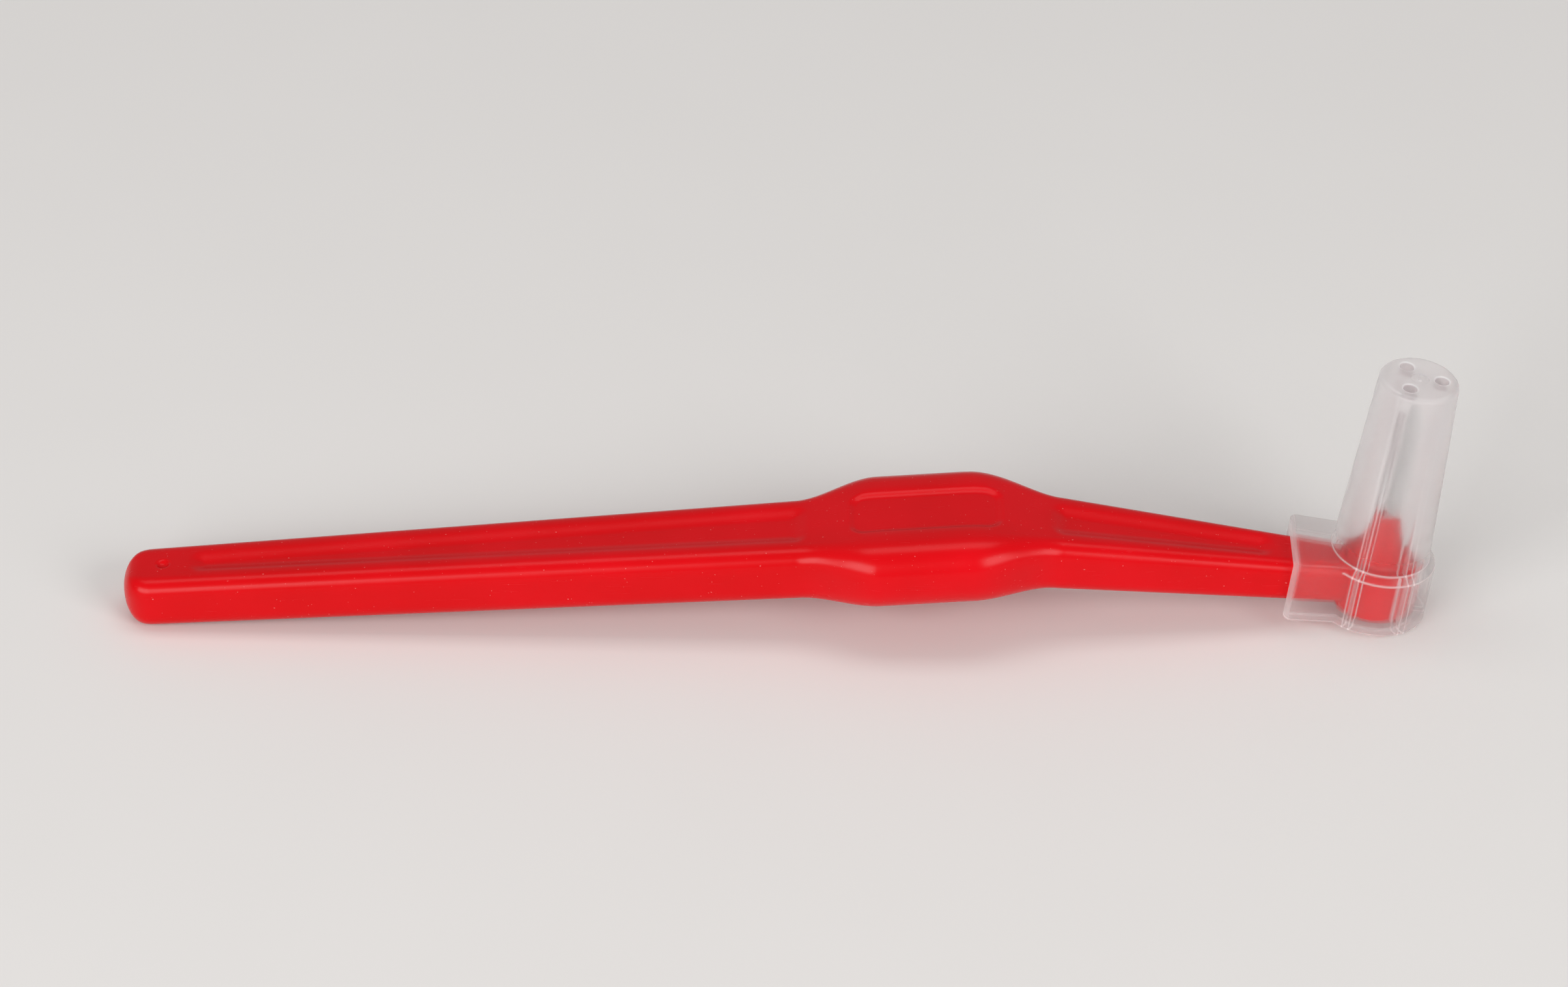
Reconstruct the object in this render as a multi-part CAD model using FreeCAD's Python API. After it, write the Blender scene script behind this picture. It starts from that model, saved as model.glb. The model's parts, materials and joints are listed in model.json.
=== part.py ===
import FreeCAD
import Part
import math
import os

# An angled interdental brush with a long moulded handle and a clear cap over its brush.
# Everything is drawn in the head's own frame and stood on the floor at the end. There the
# boss and the cap share the Z axis, the handle runs towards -X, and the rim of the cap
# lies in the plane Z = 0. Y = 0 is the mirror plane. All sizes are in millimetres.

# Handle, seen from above
neck_length = 31.0
tail_length = 73.5
bend_degrees = 11.5
bend_radius = 40.0
neck_root_width = 3.9
neck_width = 8.3
grip_width = 13.8
tail_width = 8.9
tail_end_width = 6.2
grip_start = 26.5
grip_full_start = 34.0
grip_full_end = 41.5
grip_end = 48.5

# Handle, seen from the side
neck_root_thickness = 3.6
neck_thickness = 4.7
grip_thickness = 6.0
tail_thickness = 5.0
tail_end_thickness = 4.5
grip_rise = 0.35
tail_side_round = 2.4
tail_face_round = 1.5
edge_round_share = 0.3
grip_round_share = 0.45
stations_per_stretch = 4
stations_per_tail_end = 4

# Grooves, recess and gate mark in both faces of the handle
groove_depth = 0.35
groove_slope = 1.2
groove_reach = 0.6
groove_corner = 1.2
groove_corner_share = 0.8
neck_groove_start_rim = 1.4
groove_rim = 2.0
neck_groove_start = 9.0
neck_groove_end = 27.4
tail_groove_start = 12.5
tail_groove_cap_gap = 5.8
tail_groove_back_gap = 3.0
recess_length = 12.0
recess_width = 5.2
recess_corner = 1.2
recess_centre = 37.6
recess_depth = 0.3
gate_radius = 0.65
gate_depth = 0.3
gate_from_end = 3.4

# Boss and nose
boss_radius = 3.2
boss_height = 4.6
boss_inset = 0.4
boss_chamfer = 0.2
neck_inset = 0.6
nose_base_radius = 2.1
nose_tip_radius = 0.95
nose_height = 4.4
nose_chamfer = 0.3

# Cap, whose closed end stands clear of the wire's tip
tip_gap = 1.475
collar_gap = 0.5
collar_wall = 1.0
collar_height = 5.1
shoulder_height = 0.6
tube_base_radius = 4.1
tube_end_radius = 3.3
tube_base_wall = 1.05
tube_wall = 0.8
end_wall = 0.9
end_round = 0.5
soft_share = 0.3
rim_chamfer = 0.15
seat_gap = 0.05
channel_reach = 7.4
channel_wall = 1.05
channel_gap = 0.1
web_thickness = 0.8
channel_corner = 0.6
rib_count = 5
rib_step_degrees = 60.0
rib_width = 0.6
rib_gap = 0.03
rib_lead = 0.6
tube_rib_height = 0.3
tube_rib_end_gap = 1.2
vent_count = 3
vent_radius = 0.55
vent_circle_radius = 1.85
gate_disc_radius = 0.75
gate_disc_depth = 0.15
gate_nub_radius = 0.22

# Twisted wire and filaments
strand_radius = 0.105
strand_sides = 6
samples_per_arc = 4
filament_radius = 0.04
pinch_gap = 0.02
twist_pitch = 2.2
wire_embedded = 5.0
wire_bore_gap = 0.02
bare_wire = 0.3
quarter_turns = 18
filaments_per_quarter_turn = 6
brush_base_radius = 1.35
brush_tip_radius = 1.15
loop_radius = 0.22
loop_rise = 0.5
filament_sides = 4

# Overrun of every cutting tool past what it cuts
overrun = 1.0

# Below this the two arcs of a turn count as equally long
nearly_zero = 1e-9

up = FreeCAD.Vector(0, 0, 1)
across = FreeCAD.Vector(0, 1, 0)
origin = FreeCAD.Vector(0, 0, 0)

# Levels along the boss's axis
boss_bottom = boss_inset
boss_top = boss_bottom + boss_height
nose_top = boss_top + nose_height
neck_middle = boss_bottom + neck_inset + neck_root_thickness / 2
roof = boss_top + seat_gap
shoulder_top = collar_height + shoulder_height
wire_bottom = nose_top - wire_embedded
brush_bottom = nose_top + bare_wire
quarter_height = twist_pitch / 4
brush_top = brush_bottom + quarter_turns * quarter_height
wire_tip = brush_top + loop_rise + loop_radius + strand_radius
tube_inner_end = wire_tip + tip_gap
cap_length = tube_inner_end + end_wall
twist_radius = strand_radius + filament_radius + pinch_gap
collar_inner_radius = boss_radius + collar_gap
collar_radius = collar_inner_radius + collar_wall
tube_inner_base_radius = tube_base_radius - tube_base_wall
tube_inner_end_radius = tube_end_radius - tube_wall


def vector(x, y, z):
    return FreeCAD.Vector(x, y, z)


def polygon_face(points):
    return Part.Face(Part.makePolygon(points + points[:1]))


def line(start, end):
    return Part.LineSegment(start, end).toShape()


def arc(start, middle, end):
    return Part.Arc(start, middle, end).toShape()


def eased(value, start, end):
    """0 before start, 1 after end, and a smooth rise between."""
    share = min(max((value - start) / (end - start), 0), 1)
    return share * share * (3 - 2 * share)


def mixed(start, end, share):
    return start + (end - start) * share


# Spine of the handle: straight neck, one arc, straight tail

bend = math.radians(bend_degrees)
bend_tangent = bend_radius * math.tan(bend / 2)
bend_start = neck_length - bend_tangent
bend_end = bend_start + bend_radius * bend
handle_run = bend_end + tail_length - bend_tangent


class Frame:
    """A place on the spine: tailward along it, upwards to the cap's side, and across."""

    def __init__(self, place, angle):
        self.place = place
        self.tailward = vector(-math.cos(angle), 0, -math.sin(angle))
        self.capward = vector(-math.sin(angle), 0, math.cos(angle))

    def at(self, along, side, rise):
        return self.place + self.tailward * along + across * side + self.capward * rise


neck_frame = Frame(vector(0, 0, neck_middle), 0)


def spine(run):
    """The frame at a distance along the spine from the boss's axis."""
    if run <= bend_start:
        return Frame(neck_frame.at(run, 0, 0), 0)
    angle = min(run - bend_start, bend_radius * bend) / bend_radius
    along = bend_start + bend_radius * math.sin(angle)
    drop = bend_radius * (1 - math.cos(angle))
    place = neck_frame.at(along, 0, -drop)
    frame = Frame(place, angle)
    if run <= bend_end:
        return frame
    return Frame(frame.at(run - bend_end, 0, 0), angle)


def swell(run):
    """How much of the grip's swelling is there at a distance from the boss's axis."""
    rise = eased(run, grip_start, grip_full_start)
    fall = eased(run, grip_full_end, grip_end)
    return rise * (1 - fall)


def size_along(run, root, neck, grip, tail, end):
    """A width or thickness of the handle: a tapered neck and tail with the grip's swelling."""
    if run < grip_start:
        plain = mixed(root, neck, run / grip_start)
    elif run < grip_end:
        plain = mixed(neck, tail, (run - grip_start) / (grip_end - grip_start))
    else:
        plain = mixed(tail, end, (run - grip_end) / (handle_run - grip_end))
    return mixed(plain, grip, swell(run))


def width_at(run):
    return size_along(run, neck_root_width, neck_width, grip_width, tail_width, tail_end_width)


def thickness_at(run):
    return size_along(
        run,
        neck_root_thickness,
        neck_thickness,
        grip_thickness,
        tail_thickness,
        tail_end_thickness,
    )


def rounded_outline(corners, radius):
    """A closed flat outline whose corners are rounded to one radius."""
    bends = []
    for index, corner in enumerate(corners):
        before = (corners[index - 1] - corner).normalize()
        after = (corners[(index + 1) % len(corners)] - corner).normalize()
        inward = (before + after).normalize()
        half_angle = before.getAngle(inward)
        reach = radius / math.tan(half_angle)
        deep = radius / math.sin(half_angle) - radius
        bends.append((corner + before * reach, corner + inward * deep, corner + after * reach))
    edges = []
    for index, (start, middle, end) in enumerate(bends):
        edges.append(arc(start, middle, end))
        edges.append(line(end, bends[(index + 1) % len(bends)][0]))
    return Part.Wire(edges)


def section(frame, width, thickness, corner, rise):
    """A rounded rectangle across the spine."""
    corners = [
        frame.at(0, side * width / 2, rise + lift * thickness / 2)
        for side, lift in ((1, 1), (-1, 1), (-1, -1), (1, -1))
    ]
    return rounded_outline(corners, corner)


def section_at(run, depth, spread):
    """The body's section with its faces sunk by a depth and its sides spread outwards."""
    thickness = thickness_at(run) - 2 * depth
    share = edge_round_share if spread else mixed(edge_round_share, grip_round_share, swell(run))
    width = width_at(run) + 2 * spread
    return section(spine(run), width, thickness, thickness * share, grip_rise * swell(run))


def body_lofts(depth, spread):
    """The handle's body in stretches: plain tapers for neck and tail, smooth ones between."""
    grip_ends = [grip_start, grip_full_start, grip_full_end, grip_end]
    ends = [0, channel_reach] + grip_ends + [handle_run - tail_side_round]
    tapers = [True, True, False, False, False, True]
    lofts = []
    for start, end, taper in zip(ends, ends[1:], tapers):
        count = 1 if taper else stations_per_stretch
        sections = []
        for step in range(count + 1):
            sections.append(section_at(mixed(start, end, step / count), depth, spread))
        lofts.append(Part.makeLoft(sections, True, taper))
    return lofts


def body_solid(depth, spread):
    first, *rest = body_lofts(depth, spread)
    return first.fuse(rest).removeSplitter()


def tail_end_loft():
    """The rounded end of the tail, whose sides and faces draw in along quarter circles."""
    start = handle_run - tail_side_round
    width = width_at(start)
    thickness = thickness_at(start)
    corner = thickness * edge_round_share
    sections = []
    for step in range(stations_per_tail_end + 1):
        turn = math.radians(90) * step / stations_per_tail_end
        along = tail_side_round * math.sin(turn)
        past = max(along - tail_side_round + tail_face_round, 0)
        face_turn = math.asin(min(past / tail_face_round, 1))
        across_end = width - 2 * tail_side_round * (1 - math.cos(turn))
        through_end = thickness - 2 * tail_face_round * (1 - math.cos(face_turn))
        room = min(across_end, through_end) / 2
        end_corner = min(corner, room * (1 - edge_round_share))
        sections.append(section(spine(start + along), across_end, through_end, end_corner, 0))
    return Part.makeLoft(sections, True, False)


def groove(frame, start, end, start_half_width, end_half_width, surface, side):
    """A tool with sloping walls whose outline has its given size at the handle's surface."""
    outlines = []
    for rise in (-groove_reach, overrun):
        spread = rise * groove_slope
        start_half = start_half_width + spread
        end_half = end_half_width + spread
        level = side * (surface + rise)
        corners = [
            frame.at(start - spread, start_half, level),
            frame.at(end + spread, end_half, level),
            frame.at(end + spread, -end_half, level),
            frame.at(start - spread, -start_half, level),
        ]
        room = min(start_half, end_half) * groove_corner_share
        outlines.append(rounded_outline(corners, min(groove_corner + spread, room)))
    return Part.makeLoft(outlines, True, True)


def groove_tools():
    """The tapered grooves of the neck and the tail, on both faces."""
    tail_frame = spine(bend_end)
    tail_start = bend_end + tail_groove_start
    tools = []
    for side, tail_gap in ((1, tail_groove_cap_gap), (-1, tail_groove_back_gap)):
        tail_end = handle_run - tail_gap
        tools.append(
            groove(
                neck_frame,
                neck_groove_start,
                neck_groove_end,
                width_at(neck_groove_start) / 2 - neck_groove_start_rim,
                width_at(neck_groove_end - groove_rim) / 2 - groove_rim,
                thickness_at(mixed(neck_groove_start, neck_groove_end, 0.5)) / 2,
                side,
            )
        )
        tools.append(
            groove(
                tail_frame,
                tail_groove_start,
                tail_end - bend_end,
                width_at(tail_start + groove_rim) / 2 - groove_rim,
                width_at(tail_end) / 2 - groove_rim,
                thickness_at(mixed(tail_start, handle_run, 0.5)) / 2,
                side,
            )
        )
    return tools


def recess_tool():
    """A rounded rectangle through the grip, square to its faces."""
    frame = spine(recess_centre)
    corners = [
        frame.at(along * recess_length / 2, side * recess_width / 2, -grip_thickness)
        for along, side in ((1, 1), (-1, 1), (-1, -1), (1, -1))
    ]
    face = Part.Face(rounded_outline(corners, recess_corner))
    return face.extrude(frame.capward * (2 * grip_thickness))


def turned(profile):
    """A solid turned about the boss's axis from points given as radius and height."""
    points = [vector(radius, 0, height) for radius, height in profile]
    return polygon_face(points).revolve(origin, up, 360)


def boss_and_nose():
    """The round boss with its tapered nose."""
    return turned(
        [
            (0, boss_bottom),
            (boss_radius - boss_chamfer, boss_bottom),
            (boss_radius, boss_bottom + boss_chamfer),
            (boss_radius, boss_top),
            (nose_base_radius, boss_top),
            (nose_tip_radius, nose_top - nose_chamfer),
            (nose_tip_radius - nose_chamfer, nose_top),
            (0, nose_top),
        ]
    )


def wire_bore():
    radius = twist_radius + strand_radius + wire_bore_gap
    bottom = wire_bottom - wire_bore_gap
    return Part.makeCylinder(radius, nose_top + overrun - bottom, vector(0, 0, bottom))


def gate_mark():
    """A small conical dimple near the tail's end, on the cap's side."""
    run = handle_run - gate_from_end
    frame = spine(run)
    depth = gate_depth + overrun
    widest = gate_radius * depth / gate_depth
    tip = frame.at(0, 0, thickness_at(run) / 2 - gate_depth)
    return Part.makeCone(0, widest, depth, tip, frame.capward)


def make_handle():
    body = body_solid(0, 0)
    groove_core = body_solid(groove_depth, overrun)
    recess_core = body_solid(recess_depth, overrun)
    for tool in groove_tools():
        body = body.cut(tool.cut(groove_core))
    body = body.cut(recess_tool().cut(recess_core))
    body = body.fuse([tail_end_loft(), boss_and_nose()])
    body = body.cut(gate_mark())
    return body.cut(wire_bore()).removeSplitter()


def channel_half_width(distance):
    """Half the inner width of the cap's channel, which follows the tapered neck."""
    return width_at(distance) / 2 + channel_gap


def channel_block(extra, bottom, top):
    """The channel's outline from the boss's axis outwards, raised between two levels."""
    root = channel_half_width(0) + extra
    tip = channel_half_width(channel_reach) + extra
    reach = channel_reach if extra else channel_reach + overrun
    tip += (tip - root) * (reach - channel_reach) / channel_reach
    block = polygon_face(
        [
            vector(0, root, bottom),
            vector(-reach, tip, bottom),
            vector(-reach, -tip, bottom),
            vector(0, -root, bottom),
        ]
    ).extrude(up * (top - bottom))
    if not extra:
        return block
    upright = [
        edge
        for edge in block.Edges
        if edge.BoundBox.XLength < overrun and edge.BoundBox.YLength < overrun
        and edge.BoundBox.XMax < -reach / 2
    ]
    return block.makeFillet(channel_corner, upright)


def cap_outer():
    """The outside of the collar, shoulder and tube, turned about the axis."""
    soft = end_round * soft_share
    return turned(
        [
            (0, 0),
            (collar_radius - rim_chamfer, 0),
            (collar_radius, rim_chamfer),
            (collar_radius, collar_height),
            (tube_base_radius, shoulder_top),
            (tube_end_radius, cap_length - end_round),
            (tube_end_radius - soft, cap_length - soft),
            (tube_end_radius - end_round, cap_length),
            (0, cap_length),
        ]
    )


def cap_inner():
    """The room inside the collar and the tube."""
    collar_room = Part.makeCylinder(collar_inner_radius, roof + overrun, vector(0, 0, -overrun))
    tube_room = Part.makeCone(
        tube_inner_base_radius,
        tube_inner_end_radius,
        tube_inner_end - roof,
        vector(0, 0, roof),
    )
    return collar_room, tube_room


def rib(points):
    """A blade between points given as radius and height, on the side away from the handle."""
    corners = [vector(radius, -rib_width / 2, height) for radius, height in points]
    return polygon_face(corners).extrude(across * rib_width)


def cap_ribs():
    """The ribs that grip the boss and run on up the tube's wall."""
    collar_depth = collar_inner_radius + collar_wall / 2
    grip_radius = boss_radius + rib_gap
    tube_rib_top = tube_inner_end - tube_rib_end_gap
    top_share = (tube_rib_top - roof) / (tube_inner_end - roof)
    top_inner = mixed(tube_inner_base_radius, tube_inner_end_radius, top_share)
    ribs = []
    for index in range(rib_count):
        angle = (index - (rib_count - 1) / 2) * rib_step_degrees
        collar_rib = rib(
            [
                (grip_radius, rib_lead),
                (collar_depth, rib_lead),
                (collar_depth, roof + seat_gap),
                (grip_radius, roof + seat_gap),
            ]
        )
        tube_rib = rib(
            [
                (tube_inner_base_radius - tube_rib_height, roof),
                (tube_inner_base_radius + tube_wall / 2, roof),
                (top_inner + tube_wall / 2, tube_rib_top),
                (top_inner - tube_rib_height, tube_rib_top),
            ]
        )
        for blade in (collar_rib, tube_rib):
            blade.rotate(origin, up, angle)
            ribs.append(blade)
    return ribs


def vent_tools():
    """Round vent holes through the closed end."""
    tools = []
    for index in range(vent_count):
        angle = math.radians(360 * index / vent_count)
        x = vent_circle_radius * math.cos(angle)
        y = vent_circle_radius * math.sin(angle)
        base = vector(x, y, tube_inner_end - overrun)
        tools.append(Part.makeCylinder(vent_radius, end_wall + 2 * overrun, base))
    return tools


def make_cap():
    body = cap_outer().fuse(channel_block(channel_wall, 0, shoulder_top))
    collar_room, tube_room = cap_inner()
    slot = channel_block(0, -overrun, shoulder_top - web_thickness)
    body = body.cut([collar_room, tube_room, slot])
    body = body.fuse(cap_ribs())
    gate_disc = Part.makeCylinder(
        gate_disc_radius, gate_disc_depth + overrun, vector(0, 0, cap_length - gate_disc_depth)
    )
    body = body.cut(vent_tools() + [gate_disc])
    nub_base = vector(0, 0, cap_length - gate_disc_depth)
    nub = Part.makeCylinder(gate_nub_radius, gate_disc_depth, nub_base)
    return body.fuse(nub).removeSplitter()


# Twisted wire: one wire folded at the brush's tip, its two legs twisted round each other


def twist_angle(height):
    return 2 * math.pi * (height - brush_bottom) / twist_pitch


def helix_node(height, leg):
    """A point of a leg's middle line and its direction towards the tip."""
    angle = twist_angle(height) + leg * math.pi
    point = vector(twist_radius * math.cos(angle), twist_radius * math.sin(angle), height)
    climb = twist_pitch / (2 * math.pi)
    direction = vector(-twist_radius * math.sin(angle), twist_radius * math.cos(angle), climb)
    return point, direction.normalize()


def loop_nodes():
    """The fold at the tip: it opens from the twist into a round eye and comes back."""
    angle = twist_angle(brush_top) + math.pi / 4
    out = vector(math.cos(angle), math.sin(angle), 0)
    side = brush_top + loop_rise
    return [
        (out * loop_radius + up * side, up),
        (up * (side + loop_radius), -out),
        (-out * loop_radius + up * side, -up),
    ]


def leg_heights():
    """Heights of a leg's nodes, a quarter turn apart, up to where the fold begins."""
    count = int((brush_top - wire_bottom) / quarter_height)
    heights = [brush_top - step * quarter_height for step in range(count + 1)]
    if heights[-1] - wire_bottom > strand_radius:
        heights.append(wire_bottom)
    return heights[::-1]


def wire_nodes():
    heights = leg_heights()
    rising = [helix_node(height, 0) for height in heights]
    falling = [helix_node(height, 1) for height in reversed(heights)]
    return rising + loop_nodes() + [(point, -direction) for point, direction in falling]


def biarc(start, start_direction, end, end_direction):
    """Two arcs that join two points with given directions, each as three points."""
    chord = end - start
    total = start_direction + end_direction
    a = 2 * (1 - start_direction.dot(end_direction))
    b = 2 * chord.dot(total)
    c = -chord.dot(chord)
    reach = (-b + math.sqrt(b * b - 4 * a * c)) / (2 * a) if a > nearly_zero else -c / b
    start_corner = start + start_direction * reach
    end_corner = end - end_direction * reach
    joint = (start_corner + end_corner) / 2
    arcs = []
    for first, corner, last in ((start, start_corner, joint), (joint, end_corner, end)):
        half_chord = (last - first) / 2
        middle = (first + last) / 2
        height = (corner - middle).Length
        half = half_chord.Length
        leg = math.hypot(height, half)
        sag = half * (leg - half) / height
        arcs.append((first, middle + (corner - middle).normalize() * sag, last))
    return arcs


def wire_arcs():
    nodes = wire_nodes()
    arcs = []
    for (start, start_direction), (end, end_direction) in zip(nodes, nodes[1:]):
        arcs += biarc(start, start_direction, end, end_direction)
    return arcs


def least_gap_and_radius(arcs):
    """The least gap between stretches of the wire, and its tightest bend, measured on points."""
    points = []
    runs = []
    run = 0
    tightest = None
    for start, middle, end in arcs:
        curve = Part.ArcOfCircle(start, middle, end)
        tightest = min(curve.Radius, tightest or curve.Radius)
        for step in range(samples_per_arc):
            share = step / samples_per_arc
            points.append(curve.value(mixed(curve.FirstParameter, curve.LastParameter, share)))
            runs.append(run + curve.length() * share)
        run += curve.length()
    skip = 2 * math.pi * loop_radius
    gap = None
    for index, point in enumerate(points):
        for other in range(index + 1, len(points)):
            if runs[other] - runs[index] > skip:
                distance = (points[other] - point).Length - 2 * strand_radius
                gap = distance if gap is None else min(gap, distance)
    return gap, tightest


def strand_section(place, direction):
    """The wire's section at a place, drawn with flats."""
    outward = direction.cross(up).normalize()
    sideways = direction.cross(outward)
    points = []
    for index in range(strand_sides):
        angle = 2 * math.pi * index / strand_sides
        spoke = outward * math.cos(angle) + sideways * math.sin(angle)
        points.append(place + spoke * strand_radius)
    return Part.makePolygon(points + points[:1])


def make_wire():
    arcs = wire_arcs()
    gap, tightest = least_gap_and_radius(arcs)
    print("wire: least gap to itself %.3f, tightest bend %.3f" % (gap, tightest))
    path = Part.Wire([arc(start, middle, end) for start, middle, end in arcs])
    profile = strand_section(*wire_nodes()[0])
    shell = Part.BRepOffsetAPI.MakePipeShell(path)
    shell.add(profile)
    shell.build()
    shell.makeSolid()
    solid = shell.shape()
    length = sum(Part.ArcOfCircle(*points).length() for points in arcs)
    expected = Part.Face(profile).Area * length
    print("wire: volume %.4f, section times length %.4f" % (solid.Volume, expected))
    return solid


def filament(height):
    """One filament: a thin straight rod through the axis, pinched between the legs."""
    share = (height - brush_bottom) / (brush_top - brush_bottom)
    reach = mixed(brush_base_radius, brush_tip_radius, share)
    points = []
    for index in range(filament_sides):
        angle = 2 * math.pi * (index + 0.5) / filament_sides
        y = filament_radius * math.cos(angle)
        z = filament_radius * math.sin(angle)
        points.append(vector(-reach, y, z))
    rod = polygon_face(points).extrude(vector(2 * reach, 0, 0))
    rod.rotate(origin, up, math.degrees(twist_angle(height)) + 90)
    rod.translate(up * height)
    return rod


def make_filaments(quarter):
    """The filaments that one quarter turn of the wire holds, side by side."""
    rods = []
    for index in range(filaments_per_quarter_turn):
        share = (index + 0.5) / filaments_per_quarter_turn
        rods.append(filament(brush_bottom + (quarter + share) * quarter_height))
    return Part.makeCompound(rods)


def rest_angle():
    """How far the head leans when the brush stands on the cap's rim and its tail's end."""
    end_frame = spine(handle_run - tail_face_round)
    thickness = thickness_at(handle_run - tail_side_round)
    tail_centre = end_frame.at(0, 0, tail_face_round - thickness / 2)
    rim_edge = vector(collar_radius - rim_chamfer, 0, 0)
    between = rim_edge - tail_centre
    slope = math.atan2(between.z, between.x)
    return math.degrees(slope + math.asin(tail_face_round / between.Length))


def main():
    os.makedirs("parts", exist_ok=True)
    nodes = {"handle": make_handle(), "twisted_wire": make_wire(), "cap": make_cap()}
    for quarter in range(quarter_turns):
        nodes["filaments_%02d" % (quarter + 1)] = make_filaments(quarter)
    angle = rest_angle()
    for shape in nodes.values():
        shape.rotate(origin, across, angle)
    box = FreeCAD.BoundBox()
    for shape in nodes.values():
        box.add(shape.optimalBoundingBox(False, False))
    shift = vector(-(box.XMin + box.XMax) / 2, 0, -box.ZMin)
    for name, shape in nodes.items():
        shape.translate(shift)
        shape.exportStep("parts/%s.step" % name)
    print("head leans %.3f degrees, moved by %.3f, %.3f" % (angle, shift.x, shift.z))
    print("size %.2f x %.2f x %.2f" % (box.XLength, box.YLength, box.ZLength))


main()
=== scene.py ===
import json
import math
import random

import bmesh
import bpy
from mathutils import Matrix, Vector


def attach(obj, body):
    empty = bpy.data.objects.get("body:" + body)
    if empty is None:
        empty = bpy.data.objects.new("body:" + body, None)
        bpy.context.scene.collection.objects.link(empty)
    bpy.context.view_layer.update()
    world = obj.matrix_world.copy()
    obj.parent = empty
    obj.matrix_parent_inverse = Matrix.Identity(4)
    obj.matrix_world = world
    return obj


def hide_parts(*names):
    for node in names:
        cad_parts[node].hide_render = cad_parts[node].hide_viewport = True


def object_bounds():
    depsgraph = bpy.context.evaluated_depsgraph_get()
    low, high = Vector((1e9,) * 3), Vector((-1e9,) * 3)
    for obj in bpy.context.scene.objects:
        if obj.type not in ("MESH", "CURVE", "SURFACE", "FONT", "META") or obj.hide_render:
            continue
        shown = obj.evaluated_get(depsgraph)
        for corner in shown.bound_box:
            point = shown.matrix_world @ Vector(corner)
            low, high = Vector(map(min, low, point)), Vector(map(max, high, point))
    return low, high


# Looks of an angled interdental brush: a glossy red moulding, a twisted steel wire with
# nylon filaments, and a frosted cap. Lengths are in millimetres in the head's own frame:
# Z along the wire, the handle towards -X, and the cap's rim in the plane Z = 0.

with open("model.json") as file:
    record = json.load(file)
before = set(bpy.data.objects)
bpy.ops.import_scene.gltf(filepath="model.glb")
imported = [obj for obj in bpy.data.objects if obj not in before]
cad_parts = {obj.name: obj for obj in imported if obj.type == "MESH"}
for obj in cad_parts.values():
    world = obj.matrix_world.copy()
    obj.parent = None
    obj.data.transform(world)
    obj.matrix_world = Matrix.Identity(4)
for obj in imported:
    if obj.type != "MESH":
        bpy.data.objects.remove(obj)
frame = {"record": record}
packed_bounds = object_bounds()

millimetre = 0.001

# Handle
neck_length = 31.0
tail_length = 73.5
bend_degrees = 11.5
bend_radius = 40.0
neck_root_width = 3.9
neck_width = 8.3
grip_width = 13.8
tail_width = 8.9
tail_end_width = 6.2
grip_start = 26.5
grip_full_start = 34.0
grip_full_end = 41.5
grip_end = 48.5
neck_root_thickness = 3.6
neck_thickness = 4.7
grip_thickness = 6.0
tail_thickness = 5.0
tail_end_thickness = 4.5
grip_rise = 0.35
tail_side_round = 2.4
tail_face_round = 1.5
edge_round_share = 0.3
grip_round_share = 0.45
corner_room_share = 0.9

# Grooves, recess and gate mark in the handle's faces. A soft wall slopes down across the
# outline of a groove, from the lip outside it to the wall's foot inside it.
groove_depth = 0.35
groove_wall = 1.3
groove_lip = 0.35
groove_corner = 1.2
groove_corner_share = 0.8
neck_groove_start_rim = 1.4
groove_rim = 2.0
neck_groove_start = 9.0
neck_groove_end = 27.4
tail_groove_start = 12.5
tail_groove_cap_gap = 5.8
tail_groove_back_gap = 3.0
recess_length = 12.0
recess_width = 5.2
recess_corner = 1.2
recess_centre = 37.6
recess_depth = 0.3
recess_wall = 0.7
wall_reach = (groove_wall + groove_lip) / 2
wall_inset = (groove_wall - groove_lip) / 2
wall_room_share = 1.1
widest_wall_share = 1 / 3
gate_radius = 0.65
gate_depth = 0.3
gate_wall = 0.45
gate_from_end = 3.4

# Boss and nose
boss_radius = 3.2
boss_height = 4.6
boss_inset = 0.4
boss_round = 0.22
neck_inset = 0.6
nose_base_radius = 2.1
nose_tip_radius = 0.95
nose_height = 4.4
nose_base_round = 0.3
nose_tip_round = 0.3

# Cap
tip_gap = 1.475
collar_gap = 0.5
collar_wall = 1.0
collar_height = 5.1
shoulder_height = 0.6
shoulder_round = 0.18
tube_base_radius = 4.1
tube_base_wall = 1.05
tube_end_radius = 3.3
tube_wall = 0.8
end_wall = 0.9
end_round = 0.5
rim_round = 0.15
inner_round = 0.3
seat_gap = 0.05
channel_reach = 7.4
channel_wall = 1.05
channel_gap = 0.1
web_thickness = 0.8
channel_corner = 0.6
channel_edge_round = 0.14
widest_round_share = 1 / 3
channel_start = 2.4
slot_start = 1.2
slot_wall_share = 1 / 3
slot_web_share = 1 / 4
rib_count = 5
rib_step_degrees = 60.0
rib_width = 0.6
rib_gap = 0.03
rib_lead = 0.6
rib_round = 0.1
rib_line_width = 0.15
rib_blunt_share = 1 / 3
tube_rib_height = 0.3
tube_rib_end_gap = 1.2
vent_count = 3
vent_radius = 0.55
vent_circle_radius = 1.85
vent_flare = 0.12
gate_disc_radius = 0.75
gate_disc_depth = 0.15
gate_disc_round = 0.05
gate_nub_radius = 0.22

# Twisted wire and filaments
strand_radius = 0.105
pinch_gap = 0.02
solid_filament_radius = 0.04
twist_pitch = 2.2
wire_embedded = 5.0
bare_wire = 0.3
quarter_turns = 18
brush_base_radius = 1.35
brush_tip_radius = 1.15
loop_radius = 0.22
loop_rise = 0.5
loop_degrees = 45.0
bridge_reach_share = 1 / 3
filament_radius = 0.026
filaments_per_quarter_turn = 56
filament_fan = 0.65
filament_lift = 0.12
filament_sway = 0.1
shortest_filament_share = 0.93
filament_seed = 7

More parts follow.
